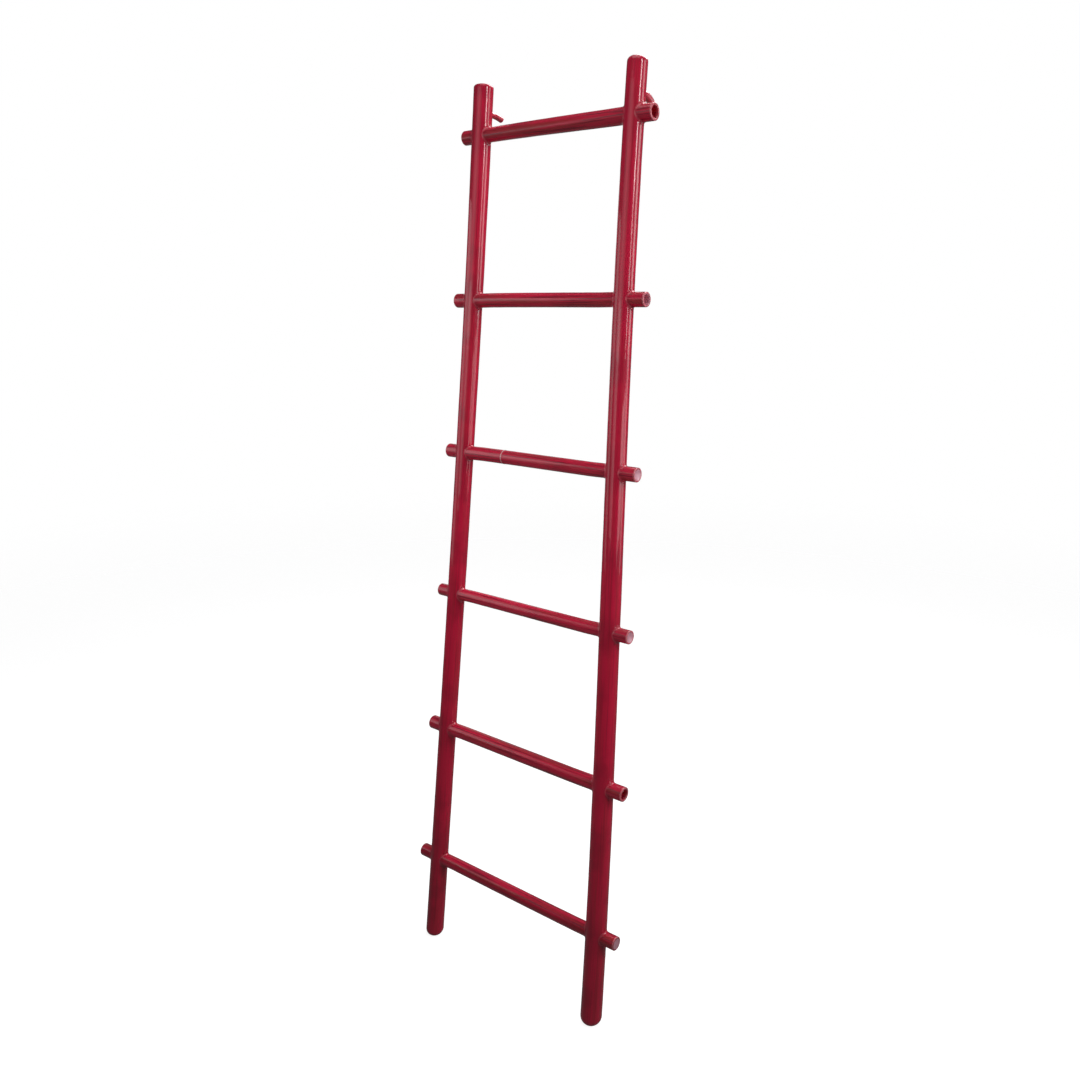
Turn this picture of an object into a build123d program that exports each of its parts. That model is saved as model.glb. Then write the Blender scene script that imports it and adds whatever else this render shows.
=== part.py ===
from build123d import *
import os
from dataclasses import dataclass
from math import cos, radians, sin, sqrt

# A leaning ladder rack for quilts and throws: two tapered poles, six lengths of bamboo cane that run
# right through them, and two small bent pegs in the back of the poles. All sizes are in millimetres.
#
# Each piece is drawn on an upright ladder, then the whole is leaned back about the line of its feet.
# Finished frame: +X to the right along the rungs, +Y back towards the wall, +Z up, and the origin on
# the floor midway between the feet.

# ---- the ladder as a whole ----
RAIL_LENGTH = 1832.0      # along a pole, from foot to tip
LEAN = 5.0                # degrees that the ladder leans back
FOOT_SPREAD = 444.4       # between the axes of the poles at the floor
TOP_SPREAD = 354.4        # between the axes of the poles at their tips

# ---- poles ----
FOOT_ALLOWANCE = 10.0     # length below the floor that the level foot cut takes off
SECTIONS = 13             # round sections that a pole is drawn through
FOOT_ROUNDING = 0.78      # rounding of a foot's edge, as a share of its radius
S_BEND_GAIN = 6 * sqrt(3)  # makes s(1 - s)(1 - 2s) peak at 1

# ---- cane rungs ----
WALL_SHARE = 0.70         # bore of a cane, as a share of its outside radius
DIAPHRAGM = 4.0           # thickness of the natural wall across a cane at a node
END_WALL = 10.0           # thickness of an end that is closed by a node
DISH_DEPTH = 2.6          # hollow in the face of a dished end
DISH_SHARE = 0.80         # width of that hollow, as a share of the cane's radius
SEAT_MARGIN = 6.0         # parallel length of a cane beyond each side of a pole
RUNG_EDGE = 1.4           # rounding of a cane's cut edges
GLUE_LINE = 0.05          # glue between a cane and the pole that it passes through

# ---- pegs ----
PEG_STRAIGHT = 22.0       # level part of a peg, from the axis of the pole
PEG_EDGE = 1.6            # rounding of a peg's end

# ---- brads ----
SHANK_RADIUS = 1.1
HEAD_RADIUS = 2.3
HEAD_THICKNESS = 1.4
HEAD_PROUD = 0.6          # part of the head that stands out of the pole
HEAD_CHAMFER = 0.35       # fall of the head's chamfered rim
TIP_COVER = 4.0           # wood left in front of a brad's tip
TIP_LENGTH = 3.0


@dataclass
class Rail:
    name: str
    side: int             # -1 for the left pole, +1 for the right pole
    foot_radius: float
    top_radius: float
    waist: float          # how much thinner the pole is at mid length than an even taper
    bow: float            # sideways bow at mid length, towards +X
    s_bend: float         # greatest sideways swing of the S bend
    top_rounding: float
    peg_height: float     # along the pole
    peg_radius: float
    peg_reach: float      # from the axis of the pole to the peg's end
    peg_droop: float      # degrees that the peg's end points below level


LEFT = Rail("left", -1, 20.3, 19.7, 1.3, 6.0, -1.4, 5.0, 1781.0, 6.0, 56.5, 19.0)
RIGHT = Rail("right", 1, 22.1, 18.4, 0.4, -1.7, 3.8, 8.5, 1775.0, 6.8, 51.5, 46.0)


@dataclass
class Rung:
    height: float         # along the left pole
    rise: float           # how much higher the rung sits on the right pole
    left_radius: float
    right_radius: float
    left_stub: float      # from the axis of the pole to the rung's end
    right_stub: float
    left_end: str         # open, dished or closed
    right_end: str
    node_at: float        # place of the inner diaphragm, as a share of the way across


RUNGS = [
    Rung(1738.0, -0.6, 13.7, 14.9, 42.8, 42.6, "dished", "open", 0.44),
    Rung(1424.8, 1.3, 14.1, 13.4, 42.5, 48.8, "open", "open", 0.62),
    Rung(1118.4, -0.7, 14.1, 13.7, 43.0, 47.8, "open", "dished", 0.29),
    Rung(815.3, 0.0, 12.9, 13.3, 44.0, 46.7, "open", "dished", 0.52),
    Rung(508.6, -1.1, 14.7, 14.5, 44.7, 49.5, "closed", "open", 0.36),
    Rung(194.9, 1.4, 14.1, 13.9, 48.0, 49.2, "open", "closed", 0.57),
]

LEAN_BACK = Rot(X=-LEAN)


def rail_x(rail, height):
    """Sideways place of a pole's axis at a height along it."""
    s = height / RAIL_LENGTH
    half_spread = (FOOT_SPREAD + (TOP_SPREAD - FOOT_SPREAD) * s) / 2
    bow = rail.bow * 4 * s * (1 - s)
    s_bend = rail.s_bend * S_BEND_GAIN * s * (1 - s) * (1 - 2 * s)
    return rail.side * half_spread + bow + s_bend


def rail_radius(rail, height):
    """A pole tapers from foot to tip and has a slight waist between them."""
    s = height / RAIL_LENGTH
    return rail.foot_radius + (rail.top_radius - rail.foot_radius) * s - rail.waist * 4 * s * (1 - s)


def rail_point(rail, height):
    return Vector(rail_x(rail, height), 0, height)


def rail_section(rail, height):
    """A round section of a pole, square to its axis."""
    ahead = rail_point(rail, height + 1) - rail_point(rail, height - 1)
    square = Plane(origin=rail_point(rail, height), z_dir=ahead)
    return square * Circle(rail_radius(rail, height))


def pole(rail):
    """The bare pole, leaned back, cut level at the floor and rounded at both ends."""
    length = RAIL_LENGTH + FOOT_ALLOWANCE
    heights = [length * i / (SECTIONS - 1) - FOOT_ALLOWANCE for i in range(SECTIONS)]
    shape = LEAN_BACK * loft([rail_section(rail, height) for height in heights])
    below_floor = Pos(rail_x(rail, 0), 0, -50) * Box(100, 100, 100)
    shape = shape - below_floor
    top_edges = shape.edges().group_by(Axis.Z)[-1]
    shape = fillet(top_edges, rail.top_rounding)
    foot_edges = shape.edges().group_by(Axis.Z)[0]
    return fillet(foot_edges, FOOT_ROUNDING * rail.foot_radius)


def rung_ends(rung):
    """Where a rung's axis crosses the axes of the two poles."""
    return rail_point(LEFT, rung.height), rail_point(RIGHT, rung.height + rung.rise)


def rung_plane(rung):
    """Origin on the left pole's axis, x along the rung and y upwards."""
    left, right = rung_ends(rung)
    along = (right - left).normalized()
    return Plane(origin=left, x_dir=along, z_dir=along.cross(Vector(0, 0, 1)))


def revolved(rung, outline):
    """A solid of revolution about the rung's axis, from (along, radius) points."""
    plane = rung_plane(rung)
    profile = plane * make_face(Polyline(outline, close=True))
    return revolve(profile, Axis(plane.origin, plane.x_dir))


def cane_body(rung):
    """The outside of a rung: parallel where it passes the poles and tapered between them."""
    left, right = rung_ends(rung)
    span = (right - left).length
    seat_left = rail_radius(LEFT, rung.height) + SEAT_MARGIN
    seat_right = rail_radius(RIGHT, rung.height) + SEAT_MARGIN
    start, finish = -rung.left_stub, span + rung.right_stub
    body = revolved(rung, [
        (start, 0),
        (start, rung.left_radius),
        (seat_left, rung.left_radius),
        (span - seat_right, rung.right_radius),
        (finish, rung.right_radius),
        (finish, 0),
    ])
    along = rung_plane(rung).x_dir
    faces = body.faces().filter_by(GeomType.PLANE).sort_by(Axis((0, 0, 0), along))
    rims = faces[0].edges() + faces[-1].edges()
    return fillet(rims, RUNG_EDGE)


def dish(rung, face_at, outward, radius):
    """The shallow spherical hollow in an end face. outward is -1 at the left end, +1 at the right."""
    half_width = DISH_SHARE * radius
    ball = (half_width ** 2 + DISH_DEPTH ** 2) / (2 * DISH_DEPTH)
    plane = rung_plane(rung)
    centre = plane.from_local_coords((face_at + outward * (ball - DISH_DEPTH), 0))
    return Plane(origin=centre, z_dir=plane.x_dir) * Sphere(ball)


def cane(rung):
    """A rung: the cane body less its two chambers and any dished face."""
    left, right = rung_ends(rung)
    span = (right - left).length
    start, finish = -rung.left_stub, span + rung.right_stub
    node = span * rung.node_at
    chamber_start = start if rung.left_end == "open" else start + END_WALL
    chamber_finish = finish if rung.right_end == "open" else finish - END_WALL
    left_bore = WALL_SHARE * rung.left_radius
    right_bore = WALL_SHARE * rung.right_radius
    shape = cane_body(rung)
    for low, high, bore in (
        (chamber_start, node - DIAPHRAGM / 2, left_bore),
        (node + DIAPHRAGM / 2, chamber_finish, right_bore),
    ):
        shape = shape - revolved(rung, [(low, 0), (low, bore), (high, bore), (high, 0)])
    if rung.left_end == "dished":
        shape = shape - dish(rung, start, -1, rung.left_radius)
    if rung.right_end == "dished":
        shape = shape - dish(rung, finish, 1, rung.right_radius)
    return LEAN_BACK * shape


def rung_hole(rung, rail):
    """The straight hole that a rung needs through one pole."""
    plane = rung_plane(rung)
    left, right = rung_ends(rung)
    span = (right - left).length
    middle = 0 if rail is LEFT else span
    radius = (rung.left_radius if rail is LEFT else rung.right_radius) + GLUE_LINE
    half = rail_radius(rail, rung.height) + SEAT_MARGIN
    outline = [(middle - half, 0), (middle - half, radius), (middle + half, radius), (middle + half, 0)]
    return LEAN_BACK * revolved(rung, outline)


def peg(rail):
    """A peg leaves the back of the pole level, then droops. It starts at the pole's axis."""
    root = LEAN_BACK * Pos(rail_point(rail, rail.peg_height))
    turn = radians(rail.peg_droop)
    bend = (rail.peg_reach - PEG_STRAIGHT) / sin(turn)
    origin = root.position
    side_view = Plane(origin=origin, x_dir=(0, 1, 0), z_dir=(1, 0, 0))
    straight = Line((0, 0), (PEG_STRAIGHT, 0))
    drop = bend * (1 - cos(turn))
    droop = TangentArc((PEG_STRAIGHT, 0), (rail.peg_reach, -drop), tangent=(1, 0))
    path = side_view * Wire([straight, droop])
    section = Plane(origin=origin, x_dir=(1, 0, 0), z_dir=(0, 1, 0)) * Circle(rail.peg_radius)
    shape = sweep(section, path=path)
    end_face = shape.faces().filter_by(GeomType.PLANE).sort_by(Axis.Y)[-1]
    return fillet(end_face.edges(), PEG_EDGE)


def brad(rail, rung):
    """One brad, driven from the back of a pole through the middle of a rung."""
    height = rung.height if rail is LEFT else rung.height + rung.rise
    radius = rail_radius(rail, height)
    head_top = radius + HEAD_PROUD
    head_bottom = head_top - HEAD_THICKNESS
    tip = TIP_COVER - radius
    side_view = Plane(origin=rail_point(rail, height), x_dir=(0, 1, 0), z_dir=(1, 0, 0))
    outline = Polyline(
        (tip, 0),
        (tip + TIP_LENGTH, SHANK_RADIUS),
        (head_bottom, SHANK_RADIUS),
        (head_bottom, HEAD_RADIUS),
        (head_top - HEAD_CHAMFER, HEAD_RADIUS),
        (head_top, HEAD_RADIUS / 2),
        (head_top, 0),
        close=True,
    )
    shape = revolve(side_view * make_face(outline), Axis(side_view.origin, side_view.x_dir))
    return LEAN_BACK * shape


def cut_all(shape, tools):
    for tool in tools:
        shape = shape - tool
    return shape


def one_solid(shape):
    solids = shape.solids()
    assert len(solids) == 1, f"expected one solid, found {len(solids)}"
    return solids[0]


os.makedirs("parts", exist_ok=True)

for rail in (LEFT, RIGHT):
    brads = [brad(rail, rung) for rung in RUNGS]
    rail_peg = peg(rail)
    holes = [rung_hole(rung, rail) for rung in RUNGS]
    rail_shape = cut_all(pole(rail), holes + [rail_peg] + brads)
    export_step(one_solid(rail_shape), f"parts/{rail.name}_rail.step")
    export_step(one_solid(rail_peg), f"parts/{rail.name}_hook.step")
    nails = Compound(children=[one_solid(piece) for piece in brads])
    export_step(nails, f"parts/{rail.name}_rail_nails.step")

for number, rung in enumerate(RUNGS, start=1):
    rung_shape = cut_all(cane(rung), [brad(LEFT, rung), brad(RIGHT, rung)])
    export_step(one_solid(rung_shape), f"parts/rung_{number}.step")
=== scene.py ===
"""Looks of the red lacquered ladder rack: fine meshes, materials, floor, lights and camera."""
from dataclasses import dataclass
from math import cos, pi, radians, sin, sqrt

import bpy
import numpy as np
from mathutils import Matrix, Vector, noise


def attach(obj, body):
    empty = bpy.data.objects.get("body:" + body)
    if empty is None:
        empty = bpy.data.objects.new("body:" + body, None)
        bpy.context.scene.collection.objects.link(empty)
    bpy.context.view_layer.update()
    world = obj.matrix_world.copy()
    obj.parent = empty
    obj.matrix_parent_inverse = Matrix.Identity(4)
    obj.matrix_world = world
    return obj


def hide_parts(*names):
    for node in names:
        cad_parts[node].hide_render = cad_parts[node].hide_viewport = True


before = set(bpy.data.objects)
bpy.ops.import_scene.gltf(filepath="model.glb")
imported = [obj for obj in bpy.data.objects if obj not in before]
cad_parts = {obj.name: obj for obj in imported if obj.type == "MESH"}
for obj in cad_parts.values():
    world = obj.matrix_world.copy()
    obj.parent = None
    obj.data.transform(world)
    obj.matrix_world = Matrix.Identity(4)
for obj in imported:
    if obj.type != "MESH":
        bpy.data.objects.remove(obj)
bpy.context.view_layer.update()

# ---- the ladder, in millimetres on an upright ladder, as in the CAD model ----
MM = 0.001
RAIL_LENGTH = 1832.0
LEAN = radians(5.0)
FOOT_SPREAD = 444.4
TOP_SPREAD = 354.4
S_BEND_GAIN = 6 * sqrt(3)     # makes a rail's s_bend the most that its S bend moves the axis
FOOT_ROUNDING = 0.78          # share of the foot's radius
DOME_SHOULDER = 0.6           # shape of a tip's low dome: over its rounded edge
DOME_FALL = 0.8               # and from its middle out to that edge
WALL_SHARE = 0.70             # bore of a cane, as a share of its radius
DIAPHRAGM = 4.0
DISH_DEPTH = 2.6
DISH_SHARE = 0.80
SEAT_MARGIN = 6.0             # a cane keeps its end radius this far past the pole's surface
RIM_ROUNDING = 1.4            # outer edge of a cut cane
BORE_ROUNDING = 0.7           # inner edge of a cut cane
BORE_EASE = 1.5               # rounding at the bottom of a bore
BORE_MOUTH = 6.0              # depth of the last plain ring before a bore's edge
BORE_RINGS = 16
PEG_STRAIGHT = 22.0
PEG_START = 8.0               # where a peg's mesh starts, inside the pole
PEG_EDGE = 1.6
HEAD_RADIUS = 2.3
HEAD_PROUD = 0.6
HEAD_EDGE = 0.2               # height of the head's straight edge above the pole
HEAD_DEPTH = 0.8
SHANK_RADIUS = 1.1
SHANK_DEPTH = 14.0

# ---- how fine the meshes are ----
RAIL_SIDES = 96
RAIL_STEP = 3.0
RUNG_SIDES = 72
RUNG_STEP = 3.0
PEG_SIDES = 48
NAIL_SIDES = 32
FILLET_SIDES = 96
FILLET_STEPS = 10

# ---- how uneven natural poles and canes are (mm) ----
RAIL_WOBBLE = 0.16
RAIL_WOBBLE_LENGTH = 26.0
RAIL_SWELL = 0.28
RAIL_SWELL_LENGTH = 60.0
SWELL_STRETCH = 0.45          # swells are this much slower along the pole
RAIL_INSET = 0.2              # the mean surface is this far inside the CAD model's
RUNG_WOBBLE = 0.12
RUNG_WOBBLE_LENGTH = 24.0
RUNG_BEND = 0.5
RUNG_BEND_TURN = 0.4          # radians by which the bend differs from one cane to the next
RUNG_INSET = 0.05
SEAT_FADE = 30.0              # a cane becomes uneven over this length, away from a pole
STUB_FADE = 10.0
RIGHT_STUB_START = 24.0       # from the right pole's axis
STUB_SHARE = 0.5              # stubs are this much less uneven than the middle
NODE_WIDTH = 1.1              # half width of a cane's node ring
CALM_REACH = 20.0             # a pole is even within this distance of a rung's axis
CALM_FADE = 34.0              # and fully uneven again this much further away
LEVEL_FADE = 45.0             # the level cut of a foot stops mattering at this height
MEAN_RAIL_RADIUS = 20.0       # for the noise only
MEAN_RUNG_RADIUS = 14.0
RAIL_WOBBLE_SEED = 3.7
RAIL_SWELL_SEED = 9.1
RUNG_WOBBLE_SEED = 20.3
WORN_TIP_AT = 0.86            # where a tip's edge is most worn, as a share of the pole's radius
WORN_TIP_WIDTH = 0.14
BORE_LIMIT = 10.14            # away from its ends, a cane's surface inside this radius is its bore

# ---- lacquer built up round each joint (mm) ----
FILLET_RADIUS = 5.0
PEG_FILLET_RADIUS = 3.5
FILLET_UNEVENNESS = 0.16      # share of the fillet's radius
FILLET_LUMPS = 1.6            # more gives more lumps round a joint
FILLET_SEED_STEP = 0.37       # per mm of height, so that no two fillets are alike
FILLET_SINK = 0.25
POOL_WIDTH = 12.0             # darker lacquer on a cane, from the pole's surface outwards

# ---- offsets along the grain, so that no two pieces have the same pattern (mm) ----
RAIL_GRAIN_STEP = 4000.0
RUNG_GRAIN_STEP = 900.0
PEG_GRAIN_STEP = 300.0

# ---- camera and floor, in metres and degrees ----
CAMERA_PLACE = (1.146, -1.3162, 1.4146)
CAMERA_AZIMUTH = 38.73
CAMERA_PITCH = 14.18
CAMERA_LENS = 31.25
FLOOR_RADIUS = 6.0
FLOOR_SIDES = 96


@dataclass
class Rail:
    """A pole. It bows and bends only from side to side."""
    name: str
    side: int                 # -1 is left, 1 is right
    foot_radius: float
    top_radius: float
    waist: float              # how much thinner it is halfway up
    bow: float
    s_bend: float
    top_rounding: float
    top_dome: float
    peg_height: float
    peg_radius: float
    peg_reach: float          # from the pole's axis to the peg's end
    peg_droop: float          # degrees that the peg's end points below level


LEFT = Rail("left", -1, 20.3, 19.7, 1.3, 6.0, -1.4, 5.0, 1.6, 1781.0, 6.0, 56.5, 19.0)
RIGHT = Rail("right", 1, 22.1, 18.4, 0.4, -1.7, 3.8, 8.5, 1.6, 1775.0, 6.8, 51.5, 46.0)


@dataclass
class Rung:
    """A cane that runs through both poles. Heights are along the poles."""
    height: float             # at the left pole
    rise: float               # how much higher it is at the right pole
    left_radius: float
    right_radius: float
    left_stub: float          # from the pole's axis to the cane's end
    right_stub: float
    left_end: str
    right_end: str
    node_at: float            # share of the way from left to right
    node_height: float        # how far the cane's node ring stands out


RUNGS = [
    Rung(1738.0, -0.6, 13.7, 14.9, 42.8, 42.6, "dished", "open", 0.44, 0.0),
    Rung(1424.8, 1.3, 14.1, 13.4, 42.5, 48.8, "open", "open", 0.62, 0.0),
    Rung(1118.4, -0.7, 14.1, 13.7, 43.0, 47.8, "open", "dished", 0.29, 0.45),
    Rung(815.3, 0.0, 12.9, 13.3, 44.0, 46.7, "open", "dished", 0.52, 0.0),
    Rung(508.6, -1.1, 14.7, 14.5, 44.7, 49.5, "closed", "open", 0.36, 0.0),
    Rung(194.9, 1.4, 14.1, 13.9, 48.0, 49.2, "open", "closed", 0.57, 0.0),
]


# ---------------------------------------------------------------- shape of the ladder
def rail_x(rail, height):
    s = height / RAIL_LENGTH
    half_spread = (FOOT_SPREAD + (TOP_SPREAD - FOOT_SPREAD) * s) / 2
    bow = rail.bow * 4 * s * (1 - s)
    s_bend = rail.s_bend * S_BEND_GAIN * s * (1 - s) * (1 - 2 * s)
    return rail.side * half_spread + bow + s_bend


def rail_radius(rail, height):
    s = height / RAIL_LENGTH
    taper = rail.foot_radius + (rail.top_radius - rail.foot_radius) * s
    return taper - rail.waist * 4 * s * (1 - s)


def rail_point(rail, height):
    return np.array([rail_x(rail, height), 0.0, height])


def rail_grain_start(rail):
    return RAIL_GRAIN_STEP * (rail.side + 2)


def rung_height(rung, rail):
    return rung.height if rail is LEFT else rung.height + rung.rise


def rung_axis(rung):
    """(point on the left pole's axis, unit direction, distance between the poles' axes)."""
    left = rail_point(LEFT, rung.height)
    right = rail_point(RIGHT, rung.height + rung.rise)
    span = np.linalg.norm(right - left)
    return left, (right - left) / span, span


def leaned(points):
    """Upright millimetres to the row's frame in metres."""
    x, y, z = points[..., 0], points[..., 1], points[..., 2]
    back = y * cos(LEAN) + z * sin(LEAN)
    up = z * cos(LEAN) - y * sin(LEAN)
    return np.stack([x, back, up], axis=-1) * MM


def smooth_step(value):
    value = np.clip(value, 0.0, 1.0)
    return value * value * (3 - 2 * value)


def noise_field(points, scale, seed):
    """Smooth noise between -1 and 1 at points in millimetres. scale is its wavelength."""
    flat = points.reshape(-1, 3) / scale + seed
    values = np.array([noise.noise(Vector(p)) for p in flat])
    return values.reshape(points.shape[:-1])


# ---------------------------------------------------------------- mesh helpers
def mesh_object(name, points, faces, grain, masks):
    """A smooth mesh object. grain is a point's place in the pattern, and runs along the piece."""
    mesh = bpy.data.meshes.new(name)
    mesh.from_pydata(points.tolist(), [], faces)
    mesh.polygons.foreach_set("use_smooth", [True] * len(mesh.polygons))
    vector = mesh.attributes.new("grain", "FLOAT_VECTOR", "POINT")
    vector.data.foreach_set("vector", grain.astype(np.float32).ravel())
    for mask, values in masks.items():
        layer = mesh.attributes.new(mask, "FLOAT", "POINT")
        layer.data.foreach_set("value", values.astype(np.float32).ravel())
    mesh.update()
    piece = bpy.data.objects.new(name, mesh)
    bpy.context.scene.collection.objects.link(piece)
    return piece


def tube_faces(rings, sides):
    """Quads of a closed tube, then a fan at each end to one extra point."""
    faces = []
    for i in range(rings - 1):
        for j in range(sides):
            k = (j + 1) % sides
            faces.append((i * sides + j, i * sides + k, (i + 1) * sides + k, (i + 1) * sides + j))
    first, last = rings * sides, rings * sides + 1
    top = (rings - 1) * sides
    for j in range(sides):
        k = (j + 1) % sides
        faces.append((first, k, j))
        faces.append((last, top + j, top + k))
    return faces


def ring_faces(steps, sides, offset):
    """Quads of a closed loop of closed sections, such as a fillet that goes right round a joint."""
    faces = []
    for i in range(sides):
        a = offset + i * steps
        b = offset + ((i + 1) % sides) * steps
        for j in range(steps):
            k = (j + 1) % steps
            faces.append((a + j, b + j, b + k, a + k))
    return faces


def tube_mask(values, sides, at_ends=0.0):
    """A mask for tube_faces, from one value per ring."""
    return np.append(np.repeat(values, sides), [at_ends, at_ends])


def arc(centre_along, centre_out, radius, start, end, count):
    """Points (along, out) on an arc, with the angles in degrees measured from the along axis."""
    angles = np.radians(np.linspace(start, end, count))
    return [(centre_along + radius * cos(a), centre_out + radius * sin(a)) for a in angles]


# ---------------------------------------------------------------- poles
def unevenness(height):
    """0 at a joint and 1 away from it."""
    nearest = np.min([np.abs(height - rung.height) for rung in RUNGS], axis=0)
    return smooth_step((nearest - CALM_REACH) / CALM_FADE)


def foot_stations(rounding):
    """(height, share of the radius) from near the centre of the foot to the end of its rounding."""
    stations = [(0.0, share) for share in (0.06, 0.14)]
    for angle in np.radians(np.linspace(0, 90, 22)):
        share = 1 - FOOT_ROUNDING + FOOT_ROUNDING * sin(angle)
        stations.append((rounding * (1 - cos(angle)), share))
    return stations


def tip_stations(rail, body_top):
    """(height, share of the radius) over a tip's rounded edge and low dome."""
    edge = rail.top_rounding / rail.top_radius
    stations = []
    for angle in np.radians(np.linspace(0, 90, 16)):
        share = 1 - edge + edge * cos(angle)
        rise = rail.top_dome * smooth_step(1 - share) * DOME_SHOULDER
        stations.append((body_top + rail.top_rounding * sin(angle) + rise, share))
    for share in np.linspace(1 - edge, 0.05, 9)[1:]:
        rise = rail.top_dome * (1 - (share / (1 - edge)) ** 2 * DOME_FALL)
        stations.append((RAIL_LENGTH - rail.top_dome + rise, share))
    return stations


def rail_stations(rail):
    """(height, share of the radius) from the centre of the foot to the centre of the tip."""
    rounding = FOOT_ROUNDING * rail.foot_radius
    body_top = RAIL_LENGTH - rail.top_dome - rail.top_rounding
    count = int((body_top - rounding) / RAIL_STEP)
    body = [(rounding + (body_top - rounding) * i / count, 1.0) for i in range(1, count)]
    return foot_stations(rounding) + body + tip_stations(rail, body_top)


def rail_relief(rail, angle_grid, height_grid):
    """Small waves and slow swells of a natural pole."""
    around = np.stack([np.cos(angle_grid), np.sin(angle_grid), height_grid], axis=-1)
    around = around * np.array([MEAN_RAIL_RADIUS, MEAN_RAIL_RADIUS, 1.0])
    stretched = around * np.array([1.0, 1.0, SWELL_STRETCH])
    wobble = RAIL_WOBBLE * noise_field(around, RAIL_WOBBLE_LENGTH, RAIL_WOBBLE_SEED + rail.side)
    swell = RAIL_SWELL * noise_field(stretched, RAIL_SWELL_LENGTH, RAIL_SWELL_SEED + rail.side)
    return wobble + swell


def rail_mesh(rail):
    stations = rail_stations(rail)
    heights = np.array([height for height, _ in stations])
    shares = np.array([share for _, share in stations])
    angles = np.linspace(0, 2 * pi, RAIL_SIDES, endpoint=False)
    height_grid, angle_grid = np.meshgrid(heights, angles, indexing="ij")
    uneven = unevenness(heights)
    relief = uneven[:, None] * rail_relief(rail, angle_grid, height_grid)
    reach = (rail_radius(rail, height_grid) - RAIL_INSET + relief) * shares[:, None]
    x = reach * np.cos(angle_grid)
    y = reach * np.sin(angle_grid)
    level = y * np.tan(LEAN) * smooth_step(1 - height_grid / LEVEL_FADE)
    points = np.stack([rail_x(rail, height_grid) + x, y, height_grid + level], axis=-1)
    ends = np.array([rail_point(rail, 0.0), rail_point(rail, RAIL_LENGTH)])
    grain = np.stack([x, y, height_grid], axis=-1).reshape(-1, 3)
    grain = np.vstack([grain, [[0.0, 0.0, 0.0], [0.0, 0.0, RAIL_LENGTH]]])
    grain = (grain + np.array([0, 0, rail_grain_start(rail)])) * MM
    worn = smooth_step(1 - np.abs(shares - WORN_TIP_AT) / WORN_TIP_WIDTH)
    worn_tip = worn * (heights > RAIL_LENGTH / 2)
    masks = {"wear": tube_mask(worn_tip, RAIL_SIDES), "pool": tube_mask(1 - uneven, RAIL_SIDES)}
    everything = leaned(np.vstack([points.reshape(-1, 3), ends]))
    faces = tube_faces(len(stations), RAIL_SIDES)
    return mesh_object(f"{rail.name}_pole", everything, faces, grain, masks)


# ---------------------------------------------------------------- cane rungs
def end_profile(kind, radius, depth):
    """(distance in from the end face, radius, wear) from the middle of an end out to its rim."""
    bore = WALL_SHARE * radius
    points = []
    if kind == "open":
        points += [(depth, bore * share, 0.0) for share in (0.3, 0.8)]
        points += [(depth - BORE_EASE, bore, 0.0)]
        for i in range(1, BORE_RINGS + 1):
            points.append((depth + (BORE_MOUTH - depth) * i / BORE_RINGS, bore, 0.0))
        for a, out in arc(BORE_ROUNDING, bore + BORE_ROUNDING, BORE_ROUNDING, 270, 180, 6):
            points.append((a, out, 0.7))
    elif kind == "dished":
        half_width = DISH_SHARE * radius
        for share in np.linspace(0.08, 1.0, 12):
            depth_here = DISH_DEPTH * (1 - share ** 2) + 0.05
            points.append((depth_here, half_width * share, 0.1 + 0.5 * share ** 6))
    else:
        points += [(0.25 * (1 - share), radius * share, 0.0) for share in np.linspace(0.1, 0.8, 8)]
    for a, out in arc(RIM_ROUNDING, radius - RIM_ROUNDING, RIM_ROUNDING, 180, 90, 8):
        points.append((a, out, 1.0))
    return points


def rung_ends(rung, span):
    """Places of a cane's two ends, measured from the left pole's axis."""
    return -rung.left_stub, span + rung.right_stub


def rung_seats(rung, span):
    """Places between which a cane is free of both poles."""
    seat_left = rail_radius(LEFT, rung.height) + SEAT_MARGIN
    seat_right = span - rail_radius(RIGHT, rung.height) - SEAT_MARGIN
    return seat_left, seat_right


def rung_stations(rung, span):
    """Arrays along a cane: place, radius, wear, and 1 where it is the cane's outer side."""
    start, finish = rung_ends(rung, span)
    seat_left, seat_right = rung_seats(rung, span)
    node = span * rung.node_at
    left = end_profile(rung.left_end, rung.left_radius, node - DIAPHRAGM / 2 - start)
    right = end_profile(rung.right_end, rung.right_radius, finish - node - DIAPHRAGM / 2)
    count = int((finish - start - 4 * RIM_ROUNDING) / RUNG_STEP)
    places = np.linspace(start + 2 * RIM_ROUNDING, finish - 2 * RIM_ROUNDING, count)
    near_node = node + np.linspace(-6, 6, 25)
    places = np.unique(np.concatenate([places, near_node]))
    share = np.clip((places - seat_left) / (seat_right - seat_left), 0, 1)
    body = rung.left_radius + (rung.right_radius - rung.left_radius) * share
    stations = [(start + depth, radius, wear, 0.0) for depth, radius, wear in left]
    stations += [(place, radius, 0.0, 1.0) for place, radius in zip(places, body)]
    stations += [(finish - depth, radius, wear, 0.0) for depth, radius, wear in reversed(right)]
    return [np.array(column) for column in zip(*stations)]


def node_shape(rung, place, span):
    """1 at a cane's node, fading to 0 on both sides."""
    return np.exp(-((place - span * rung.node_at) / NODE_WIDTH) ** 2)


def rung_masks(rung, span, place, radius, wear, is_body):
    start, finish = rung_ends(rung, span)
    within = (place - start) * (finish - place) > 0
    # the inside of a bore, which the material paints light pink, standing in for light reaching into
    # it
    inside = within & (radius < BORE_LIMIT) & (is_body < 0.5)
    joint = np.minimum(np.abs(place), np.abs(place - span)) - rail_radius(LEFT, rung.height)
    pool = smooth_step(1 - joint / POOL_WIDTH) * is_body
    node_ring = node_shape(rung, place, span) * (rung.node_height > 0) * is_body
    return {
        "wear": tube_mask(wear, RUNG_SIDES),
        "pool": tube_mask(pool, RUNG_SIDES),
        "inside": tube_mask(inside.astype(float), RUNG_SIDES, at_ends=1.0),
        "node_ring": tube_mask(node_ring, RUNG_SIDES),
    }


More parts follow.
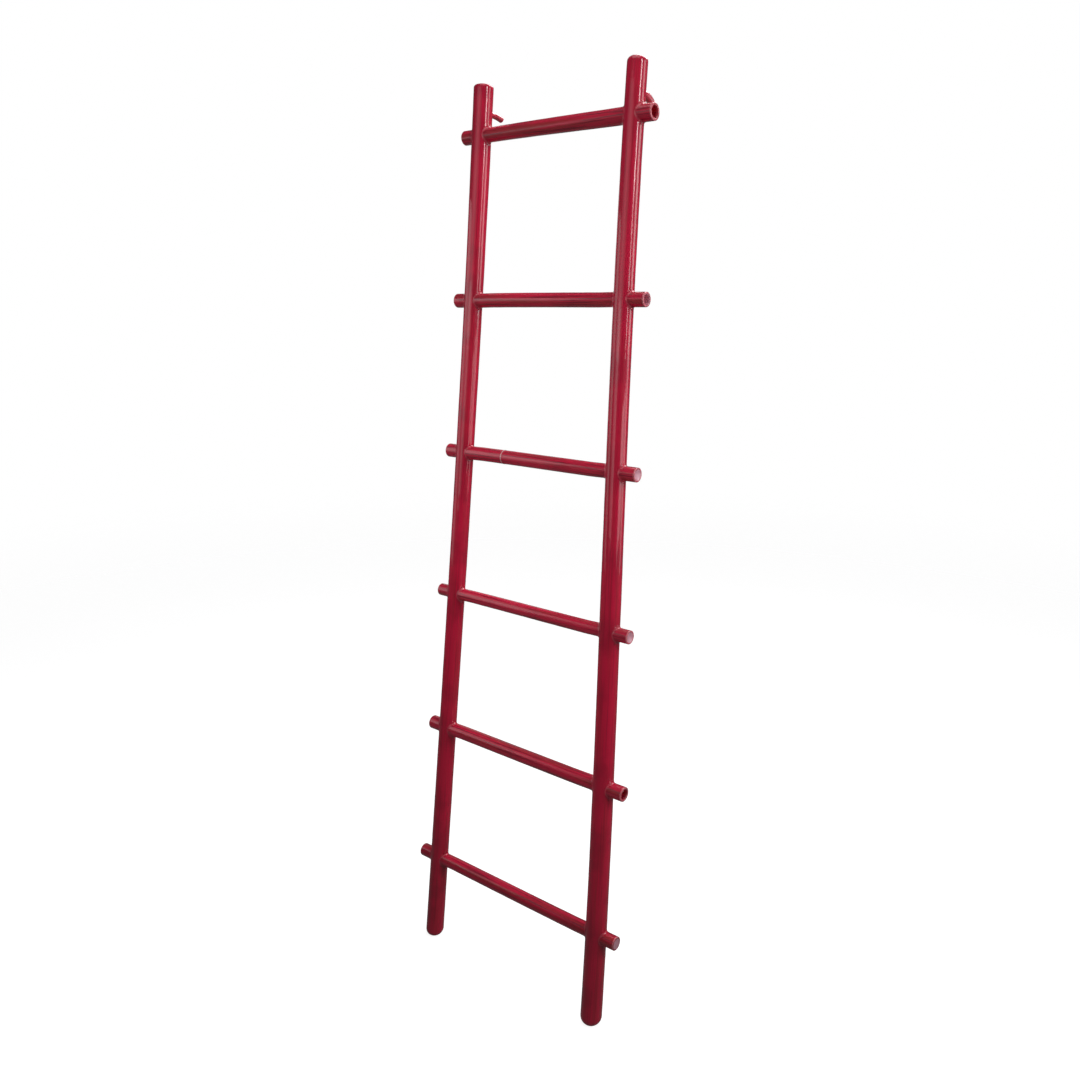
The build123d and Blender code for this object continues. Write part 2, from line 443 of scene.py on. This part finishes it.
def rung_relief(rung, number, span, place, angle_grid, place_grid, is_body):
    """(uneven radius, sideways bend) of a cane: none in the poles, and less on its stubs."""
    seat_left, seat_right = rung_seats(rung, span)
    from_left = smooth_step((place - seat_left) / SEAT_FADE)
    between = from_left * smooth_step((seat_right - place) / SEAT_FADE)
    left_stub = smooth_step((-seat_left - place) / STUB_FADE)
    right_stub = smooth_step((place - span - RIGHT_STUB_START) / STUB_FADE)
    stub = np.where(place < 0, left_stub, right_stub)
    free = (is_body * np.maximum(between, STUB_SHARE * stub))[:, None]
    around_x = MEAN_RUNG_RADIUS * np.cos(angle_grid)
    around_y = MEAN_RUNG_RADIUS * np.sin(angle_grid)
    around = np.stack([around_x, around_y, place_grid], axis=-1)
    seed = RUNG_WOBBLE_SEED + number
    wobble = RUNG_WOBBLE * noise_field(around, RUNG_WOBBLE_LENGTH, seed)
    share = np.clip((place - seat_left) / (seat_right - seat_left), 0, 1)
    bend = RUNG_BEND * np.sin(pi * share + RUNG_BEND_TURN * number) * between * is_body
    return free * wobble, bend[:, None]


def rung_mesh(rung, number):
    origin, direction, span = rung_axis(rung)
    place, radius, wear, is_body = rung_stations(rung, span)
    angles = np.linspace(0, 2 * pi, RUNG_SIDES, endpoint=False)
    place_grid, angle_grid = np.meshgrid(place, angles, indexing="ij")
    relief, bend = rung_relief(rung, number, span, place, angle_grid, place_grid, is_body)
    ring = rung.node_height * node_shape(rung, place, span) * is_body
    reach = radius[:, None] - RUNG_INSET + relief + ring[:, None]

    back = np.array([0.0, 1.0, 0.0])
    up = np.cross(direction, back)
    offset_back = reach * np.cos(angle_grid)
    offset_up = reach * np.sin(angle_grid) + bend
    axis_points = origin + place_grid[..., None] * direction
    points = axis_points + offset_back[..., None] * back + offset_up[..., None] * up
    ends = np.array([origin + place[0] * direction, origin + place[-1] * direction])
    grain = np.stack([offset_back, offset_up, place_grid], axis=-1).reshape(-1, 3)
    grain = np.vstack([grain, [[0, 0, place[0]], [0, 0, place[-1]]]])
    grain = (grain + np.array([0, 0, RUNG_GRAIN_STEP * number])) * MM
    everything = leaned(np.vstack([points.reshape(-1, 3), ends]))
    faces = tube_faces(len(place), RUNG_SIDES)
    masks = rung_masks(rung, span, place, radius, wear, is_body)
    return mesh_object(f"cane_{number}", everything, faces, grain, masks)


# ---------------------------------------------------------------- lacquer round the joints
def pole_frame(rail, height):
    """(point on a pole's axis, unit vector up along it)."""
    ahead = rail_point(rail, height + 1) - rail_point(rail, height - 1)
    return rail_point(rail, height), ahead / np.linalg.norm(ahead)


def roll_out(start, direction, axis, distance):
    """How far start moves along direction before it is at a distance from the axis."""
    across = start - axis * start.dot(axis)
    along = direction - axis * direction.dot(axis)
    a = along.dot(along)
    b = 2 * across.dot(along)
    c = across.dot(across) - distance ** 2
    return (-b + sqrt(max(b * b - 4 * a * c, 0.0))) / (2 * a)


def turned(start, end, share):
    """A unit vector on the way from start to end."""
    between = np.arccos(np.clip(start.dot(end), -1, 1))
    if between <= 1e-4:
        return start
    mixed = np.sin((1 - share) * between) * start + np.sin(share * between) * end
    return mixed / np.sin(between)


def fillet_sections(joint):
    """Sections of a concave fillet between a pole and a round piece that leaves it.

    A ball of the fillet's radius rolls round the joint, touching both.
    """
    rail, height, direction, radius, fillet = joint
    origin, axis = pole_frame(rail, height)
    pole = rail_radius(rail, height)
    side = np.cross(axis, direction)
    side = side / np.linalg.norm(side)
    up = np.cross(direction, side)
    sections = []
    for i in range(FILLET_SIDES):
        angle = 2 * pi * i / FILLET_SIDES
        circle = (FILLET_LUMPS * cos(angle), FILLET_LUMPS * sin(angle), height * FILLET_SEED_STEP)
        size = fillet * (1 + FILLET_UNEVENNESS * noise.noise(Vector(circle)))
        outward = cos(angle) * side + sin(angle) * up
        from_pole = (radius + size) * outward
        reach = roll_out(from_pole, direction, axis, pole + size)
        ball = from_pole + reach * direction
        away = ball - axis * ball.dot(axis)
        away = away / np.linalg.norm(away)
        section = []
        for step in range(FILLET_STEPS + 1):
            toward = turned(-outward, -away, step / FILLET_STEPS)
            section.append(origin + ball + size * toward)
        touch_piece = section[0] - FILLET_SINK * outward
        touch_pole = section[-1] - FILLET_SINK * away
        inner = (radius - 3 * FILLET_SINK) * outward
        core = origin + reach * direction + inner - 0.5 * size * direction
        sections.append(section + [touch_pole, core, touch_piece])
    return np.array(sections), origin


def joint_fillets(name, joints):
    """One object with a fillet for each (rail, height, direction, radius, fillet radius)."""
    points, faces, grain, masks = [], [], [], []
    offset = 0
    for joint in joints:
        rail, height = joint[:2]
        sections, origin = fillet_sections(joint)
        steps = sections.shape[1]
        faces += ring_faces(steps, FILLET_SIDES, offset)
        offset += FILLET_SIDES * steps
        flat = sections.reshape(-1, 3)
        points.append(flat)
        grain.append((flat - origin + np.array([0, 0, height + rail_grain_start(rail)])) * MM)
        # painted highlight: lighter down the middle of each fillet's arc, where its curve would
        # catch the light
        painted_highlight = np.zeros(steps)
        for step in range(FILLET_STEPS + 1):
            painted_highlight[step] = sin(pi * step / FILLET_STEPS)
        masks.append(np.tile(painted_highlight, FILLET_SIDES))
    fillet = np.concatenate(masks)
    layers = {"wear": np.zeros_like(fillet), "pool": np.ones_like(fillet), "fillet": fillet}
    return mesh_object(name, leaned(np.vstack(points)), faces, np.vstack(grain), layers)


# ---------------------------------------------------------------- pegs and nail heads
def peg_path(rail):
    """Points and directions along a peg, from inside the pole, in the row frame's millimetres."""
    root = leaned(rail_point(rail, rail.peg_height)) / MM
    level = np.array([0, 1.0, 0])
    turn = radians(rail.peg_droop)
    bend = (rail.peg_reach - PEG_STRAIGHT) / sin(turn)
    path = []
    for reach in np.linspace(PEG_START, PEG_STRAIGHT, 8):
        path.append((root + np.array([0, reach, 0]), level))
    for angle in np.linspace(0, turn, 19)[1:]:
        out = PEG_STRAIGHT + bend * sin(angle)
        place = root + np.array([0, out, -bend * (1 - cos(angle))])
        path.append((place, np.array([0, cos(angle), -sin(angle)])))
    return path


def peg_stations(rail):
    """(place, direction, radius, wear) along a peg, to the middle of its end."""
    path = peg_path(rail)
    last_place, last_direction = path[-1]
    stations = [(place, direction, rail.peg_radius, 0.0) for place, direction in path[:-1]]
    for back, out in arc(0.0, rail.peg_radius - PEG_EDGE, PEG_EDGE, 90, 0, 8):
        place = last_place + (back - PEG_EDGE) * last_direction
        stations.append((place, last_direction, out, 1.0))
    for share in (0.55, 0.2):
        stations.append((last_place, last_direction, share * rail.peg_radius, 0.0))
    return stations


def peg_mesh(rail):
    stations = peg_stations(rail)
    first_place, last_place = stations[0][0], stations[-1][0]
    angles = np.linspace(0, 2 * pi, PEG_SIDES, endpoint=False)
    across = np.array([1.0, 0, 0])
    grain_start = PEG_GRAIN_STEP * (rail.side + 2)
    points, grain = [], []
    travelled = 0.0
    previous = first_place
    for place, direction, radius, _ in stations:
        up = np.cross(across, direction)
        travelled += np.linalg.norm(place - previous)
        previous = place
        for angle in angles:
            points.append(place + radius * (cos(angle) * across + sin(angle) * up))
            grain.append((radius * cos(angle), radius * sin(angle), travelled + grain_start))
    points += [first_place, last_place]
    grain += [(0, 0, 0), (0, 0, travelled)]
    wear = tube_mask([worn for _, _, _, worn in stations], PEG_SIDES)
    masks = {"wear": wear, "pool": np.zeros(len(wear))}
    faces = tube_faces(len(stations), PEG_SIDES)
    return mesh_object(f"{rail.name}_peg", np.array(points) * MM, faces, np.array(grain) * MM, masks)


def nail_outline():
    """(distance out of the pole, radius) along a brad's shank and over its domed head."""
    outline = [(-SHANK_DEPTH, SHANK_RADIUS), (-HEAD_DEPTH, SHANK_RADIUS)]
    outline += [(-HEAD_DEPTH, HEAD_RADIUS), (HEAD_EDGE, HEAD_RADIUS)]
    for a in np.radians([25, 45, 62, 76, 84]):
        outline.append((HEAD_EDGE + (HEAD_PROUD - HEAD_EDGE) * sin(a), HEAD_RADIUS * cos(a)))
    return outline


def nail_heads(rail):
    """The domed heads of the brads, in the back of a pole, each with a stub of its shank."""
    outline = nail_outline()
    angles = np.linspace(0, 2 * pi, NAIL_SIDES, endpoint=False)
    points, faces, grain = [], [], []
    for rung in RUNGS:
        offset = len(points)
        height = rung_height(rung, rail)
        centre = rail_point(rail, height)
        surface = rail_radius(rail, height)
        for out, radius in outline:
            for angle in angles:
                across, along = radius * cos(angle), radius * sin(angle)
                points.append(centre + np.array([across, surface + out, along]))
                grain.append((across, along, height + out))
        for out in (-SHANK_DEPTH, HEAD_PROUD):
            points.append(centre + np.array([0, surface + out, 0]))
            grain.append((0, 0, height))
        for face in tube_faces(len(outline), NAIL_SIDES):
            faces.append(tuple(reversed([offset + index for index in face])))
    masks = {"wear": np.zeros(len(points)), "pool": np.zeros(len(points))}
    name = f"{rail.name}_nail_heads"
    return mesh_object(name, leaned(np.array(points)), faces, np.array(grain) * MM, masks)


# ---------------------------------------------------------------- materials
class Nodes:
    """Short calls for building a node tree."""

    def __init__(self, tree):
        self.tree = tree
        self.tree.nodes.clear()

    def feed(self, socket, value):
        if isinstance(value, bpy.types.NodeSocket):
            self.tree.links.new(value, socket)
        else:
            socket.default_value = value

    def add(self, kind, inputs=None, **settings):
        node = self.tree.nodes.new(kind)
        for key, value in settings.items():
            setattr(node, key, value)
        for key, value in (inputs or {}).items():
            self.feed(node.inputs[key], value)
        return node

    def math(self, operation, a, b):
        return self.add("ShaderNodeMath", {0: a, 1: b}, operation=operation).outputs[0]

    def noise(self, vector, scale, detail):
        inputs = {"Vector": vector, "Scale": scale, "Detail": detail, "Roughness": 0.5}
        return self.add("ShaderNodeTexNoise", inputs).outputs["Fac"]

    def streaks(self, vector, across, along, detail):
        """Noise drawn out along the grain. across and along are its scales per metre."""
        scale = (across, across, along)
        stretched = self.add("ShaderNodeMapping", {"Vector": vector, "Scale": scale}).outputs[0]
        return self.noise(stretched, 1.0, detail)

    def ramp(self, value, low, high, start=0.0, end=1.0):
        inputs = {"Value": value, "From Min": low, "From Max": high, "To Min": start, "To Max": end}
        return self.add("ShaderNodeMapRange", inputs, interpolation_type="SMOOTHSTEP").outputs[0]

    def mix(self, factor, a, b):
        node = self.add("ShaderNodeMix", {0: factor, 6: a, 7: b}, data_type="RGBA")
        return node.outputs[2]

    def attribute(self, name, output="Fac"):
        return self.add("ShaderNodeAttribute", attribute_name=name).outputs[output]

    def mask(self, name, strength):
        return self.math("MULTIPLY", self.attribute(name), strength)

    def finish(self, output_kind, shader):
        output = self.add(output_kind)
        self.tree.links.new(shader, output.inputs[0])


def colour(red, green, blue):
    return (red, green, blue, 1.0)


def grey(value):
    return colour(value, value, value)


LACQUER_RED = colour(0.770, 0.0130, 0.062)
LACQUER_DEEP = colour(0.340, 0.008, 0.032)
LACQUER_BROWN = colour(0.450, 0.034, 0.038)
# worn lacquer at rims and tips, also used for the painted highlight along the fillets
LACQUER_WORN_AND_HIGHLIGHT = colour(0.85, 0.28, 0.32)
NODE_PALE = colour(0.95, 0.55, 0.55)
# painted light: a pale pink for the inside of a cane's bore, in place of the shade there
BORE_PAINTED_LIGHT = colour(0.95, 0.48, 0.58)
GLOW_BELOW = colour(0.113, 0.113, 0.116)
GLOW_ABOVE = colour(0.060, 0.058, 0.062)


def lacquer_tone(n, grain, broad_streaks, streak):
    """The lacquer's colour: streaks, blotches and specks, then what the masks say, including a
    painted highlight along the fillets and painted light inside the bores.
    """
    fine_streaks = n.streaks(grain, 320.0, 7.0, 3.0)
    blotches = n.noise(grain, 14.0, 3.0)
    specks = n.noise(grain, 900.0, 1.0)
    tone = n.mix(n.ramp(broad_streaks, 0.48, 0.62, 0.0, streak), LACQUER_RED, LACQUER_BROWN)
    tone = n.mix(n.ramp(fine_streaks, 0.50, 0.66, 0.0, 1.3 * streak), tone, LACQUER_DEEP)
    tone = n.mix(n.ramp(blotches, 0.50, 0.68, 0.0, 0.35), tone, LACQUER_DEEP)
    tone = n.mix(n.ramp(specks, 0.70, 0.78, 0.0, 0.5), tone, LACQUER_DEEP)
    tone = n.mix(n.mask("pool", 0.22), tone, LACQUER_DEEP)
    tone = n.mix(n.mask("wear", 0.55), tone, LACQUER_WORN_AND_HIGHLIGHT)
    # painted highlight along the middle of each fillet
    tone = n.mix(n.attribute("fillet"), tone, n.mix(0.18, tone, LACQUER_WORN_AND_HIGHLIGHT))
    tone = n.mix(n.attribute("node_ring"), tone, NODE_PALE)
    # painted light inside the bores, where there would be shade
    return n.mix(n.mask("inside", 0.9), tone, BORE_PAINTED_LIGHT)


def lacquer(name, seed, streak=0.28, haze=0.12, coat_roughness=0.07):
    """Glossy red lacquer with a clear coat. haze is the duller gloss below the coat."""
    material = bpy.data.materials.new(name)
    material.use_nodes = True
    n = Nodes(material.node_tree)
    place = n.attribute("grain", "Vector")
    shift = {0: place, 1: (seed, seed, 0.0)}
    grain = n.add("ShaderNodeVectorMath", shift, operation="ADD").outputs[0]
    broad_streaks = n.streaks(grain, 110.0, 4.0, 2.0)
    tone = lacquer_tone(n, grain, broad_streaks, streak)

    peel = n.noise(grain, 130.0, 2.0)
    ridges = n.math("SUBTRACT", broad_streaks, 0.5)
    bump = n.add("ShaderNodeBump", {"Height": peel, "Strength": 0.5, "Distance": 0.00006})
    wave = n.add("ShaderNodeBump", {
        "Height": ridges,
        "Strength": 0.6,
        "Distance": 0.00025,
        "Normal": bump.outputs[0],
    })
    shader = n.add("ShaderNodeBsdfPrincipled", {
        "Base Color": tone,
        "Roughness": n.ramp(n.noise(grain, 45.0, 3.0), 0.3, 0.7, 0.30, 0.42),
        "IOR": 1.5,
        "Specular IOR Level": haze,
        "Coat Weight": 1.0,
        "Coat Roughness": coat_roughness,
        "Coat IOR": 1.5,
        "Normal": wave.outputs[0],
        "Coat Normal": bump.outputs[0],
    })
    n.finish("ShaderNodeOutputMaterial", shader.outputs[0])
    return material


def floor_material():
    """A pale floor that fades into the background towards its edge."""
    material = bpy.data.materials.new("pale_floor")
    material.use_nodes = True
    n = Nodes(material.node_tree)
    place = n.add("ShaderNodeTexCoord").outputs["Object"]
    distance = n.add("ShaderNodeVectorMath", {0: place}, operation="LENGTH").outputs["Value"]
    matte = n.add("ShaderNodeBsdfDiffuse", {"Color": grey(0.50)}).outputs[0]
    glow = n.add("ShaderNodeEmission", {"Color": grey(1.0), "Strength": 0.90}).outputs[0]
    lit = n.add("ShaderNodeAddShader", {0: matte, 1: glow}).outputs[0]
    clear = n.add("ShaderNodeBsdfTransparent").outputs[0]
    fade = n.ramp(distance, 0.25 * FLOOR_RADIUS, 0.95 * FLOOR_RADIUS)
    mixed = n.add("ShaderNodeMixShader", {0: fade, 1: lit, 2: clear}).outputs[0]
    n.finish("ShaderNodeOutputMaterial", mixed)
    return material


# ---------------------------------------------------------------- stage, lights and camera
def add_floor():
    """A round floor. Only the camera sees it, so it lights and colours nothing."""
    angles = [2 * pi * i / FLOOR_SIDES for i in range(FLOOR_SIDES)]
    ring = [(FLOOR_RADIUS * cos(angle), FLOOR_RADIUS * sin(angle), 0.0) for angle in angles]
    mesh = bpy.data.meshes.new("floor")
    mesh.from_pydata(ring, [], [tuple(range(FLOOR_SIDES))])
    floor = bpy.data.objects.new("floor", mesh)
    bpy.context.scene.collection.objects.link(floor)
    floor.data.materials.append(floor_material())
    floor.visible_glossy = False
    floor.visible_diffuse = False


def add_world():
    """White where the camera sees it, and a weak glow, stronger from below, where it lights."""
    world = bpy.data.worlds.new("studio")
    bpy.context.scene.world = world
    world.use_nodes = True
    n = Nodes(world.node_tree)
    direction = n.add("ShaderNodeTexCoord").outputs["Generated"]
    height = n.add("ShaderNodeSeparateXYZ", {0: direction}).outputs["Z"]
    glow = n.mix(n.ramp(height, -0.5, -0.15), GLOW_BELOW, GLOW_ABOVE)
    around = n.add("ShaderNodeBackground", {"Color": glow, "Strength": 1.0}).outputs[0]
    seen = n.add("ShaderNodeBackground", {"Color": grey(1.0), "Strength": 1.0}).outputs[0]
    camera_ray = n.add("ShaderNodeLightPath").outputs["Is Camera Ray"]
    mixed = n.add("ShaderNodeMixShader", {0: camera_ray, 1: around, 2: seen}).outputs[0]
    n.finish("ShaderNodeOutputWorld", mixed)


def aim(holder, place, target):
    holder.location = place
    holder.rotation_euler = (Vector(target) - Vector(place)).to_track_quat("-Z", "Y").to_euler()


def add_area_light(name, place, target, size, power, spread=180.0):
    """A rectangular lamp that faces a target. spread is the angle of its beam, in degrees."""
    light = bpy.data.lights.new(name, "AREA")
    light.shape = "RECTANGLE"
    light.size, light.size_y = size
    light.energy = power
    light.spread = radians(spread)
    holder = bpy.data.objects.new(name, light)
    aim(holder, place, target)
    bpy.context.scene.collection.objects.link(holder)


def add_lights():
    """Tall key lights and weak panels on the right, soft light from above, front and left."""
    add_area_light("key_top", (2.6, -0.12, 2.5), (0.0, 0.15, 1.6), (0.42, 0.65), 10.5)
    add_area_light("key_middle", (2.6, -0.12, 1.85), (0.0, 0.15, 1.4), (0.42, 0.65), 4.4)
    add_area_light("key_low", (2.4, 0.2, 1.0), (0.0, 0.15, 0.9), (1.4, 0.6), 0.9, 70)
    add_area_light("right_panel", (1.45, 1.0, 1.8), (0.1, 0.1, 1.5), (0.6, 0.9), 1.15, 90)
    add_area_light("right_panel_low", (1.45, 1.0, 1.0), (0.1, 0.1, 0.9), (0.6, 0.8), 0.50, 90)
    add_area_light("right_beam", (1.2, 0.8, 1.4), (0.1, 0.1, 1.2), (0.9, 1.2), 0.30, 60)
    add_area_light("overhead", (0.2, -0.4, 2.8), (0.0, 0.05, 1.0), (1.4, 1.2), 6.8)
    add_area_light("overhead_back", (0.1, 1.3, 2.8), (0.0, 0.1, 1.0), (1.4, 1.0), 27.0)
    add_area_light("front_high", (-0.4, -2.4, 2.2), (-0.1, 0.15, 1.75), (5.2, 1.2), 3.2, 80)
    add_area_light("front_middle", (-0.2, -1.8, 1.3), (-0.1, 0.1, 1.05), (1.6, 0.9), 0.50, 55)
    add_area_light("left_side", (-0.95, -0.5, 1.25), (-0.2, 0.05, 1.0), (0.9, 1.1), 0.62, 70)
    add_area_light("left_back", (-1.2, 0.9, 1.3), (-0.1, 0.05, 1.2), (1.0, 1.1), 0.30, 70)


def add_camera():
    data = bpy.data.cameras.new("camera")
    data.sensor_width = 36.0
    data.lens = CAMERA_LENS
    camera = bpy.data.objects.new("camera", data)
    camera.location = CAMERA_PLACE
    camera.rotation_euler = (pi / 2 - radians(CAMERA_PITCH), 0.0, radians(CAMERA_AZIMUTH))
    bpy.context.scene.collection.objects.link(camera)
    bpy.context.scene.camera = camera


# ---------------------------------------------------------------- putting it together
def finish_piece(piece, material, slot, *nodes):
    """Gives a piece its material and hangs it on the root body; hides the CAD nodes that it
    replaces, if any.
    """
    piece.data.materials.append(material)
    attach(piece, "root")
    if nodes:
        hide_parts(*nodes)


def peg_joint(rail):
    level_back = np.array([0.0, cos(LEAN), sin(LEAN)])
    return (rail, rail.peg_height, level_back, rail.peg_radius, PEG_FILLET_RADIUS)


def rung_joints(rung):
    """The four places where a cane enters or leaves a pole."""
    _, direction, _ = rung_axis(rung)
    joints = []
    for rail, radius in ((LEFT, rung.left_radius), (RIGHT, rung.right_radius)):
        for sense in (-1, 1):
            joints.append((rail, rung_height(rung, rail), sense * direction, radius, FILLET_RADIUS))
    return joints


def build():
    pole_lacquer = lacquer("pole_lacquer", 0.0)
    cane_lacquer = lacquer("cane_lacquer", 3.0, streak=0.75, haze=0.30, coat_roughness=0.12)
    peg_lacquer = lacquer("peg_lacquer", 7.0, haze=0.9, coat_roughness=0.2)
    nail_lacquer = lacquer("nail_lacquer", 11.0)
    for rail in (LEFT, RIGHT):
        finish_piece(rail_mesh(rail), pole_lacquer, "lacquered_pole", f"{rail.name}_rail")
        finish_piece(peg_mesh(rail), peg_lacquer, "lacquered_peg", f"{rail.name}_hook")
        finish_piece(nail_heads(rail), nail_lacquer, "brad", f"{rail.name}_rail_nails")
        fillet = joint_fillets(f"{rail.name}_peg_fillet", [peg_joint(rail)])
        finish_piece(fillet, pole_lacquer, "lacquered_pole")
    for number, rung in enumerate(RUNGS, start=1):
        finish_piece(rung_mesh(rung, number), cane_lacquer, "lacquered_cane", f"rung_{number}")
        fillets = joint_fillets(f"cane_{number}_fillets", rung_joints(rung))
        finish_piece(fillets, pole_lacquer, "lacquered_pole")


build()
add_floor()
add_world()
add_lights()
add_camera()
bpy.context.scene.view_settings.view_transform = "Standard"
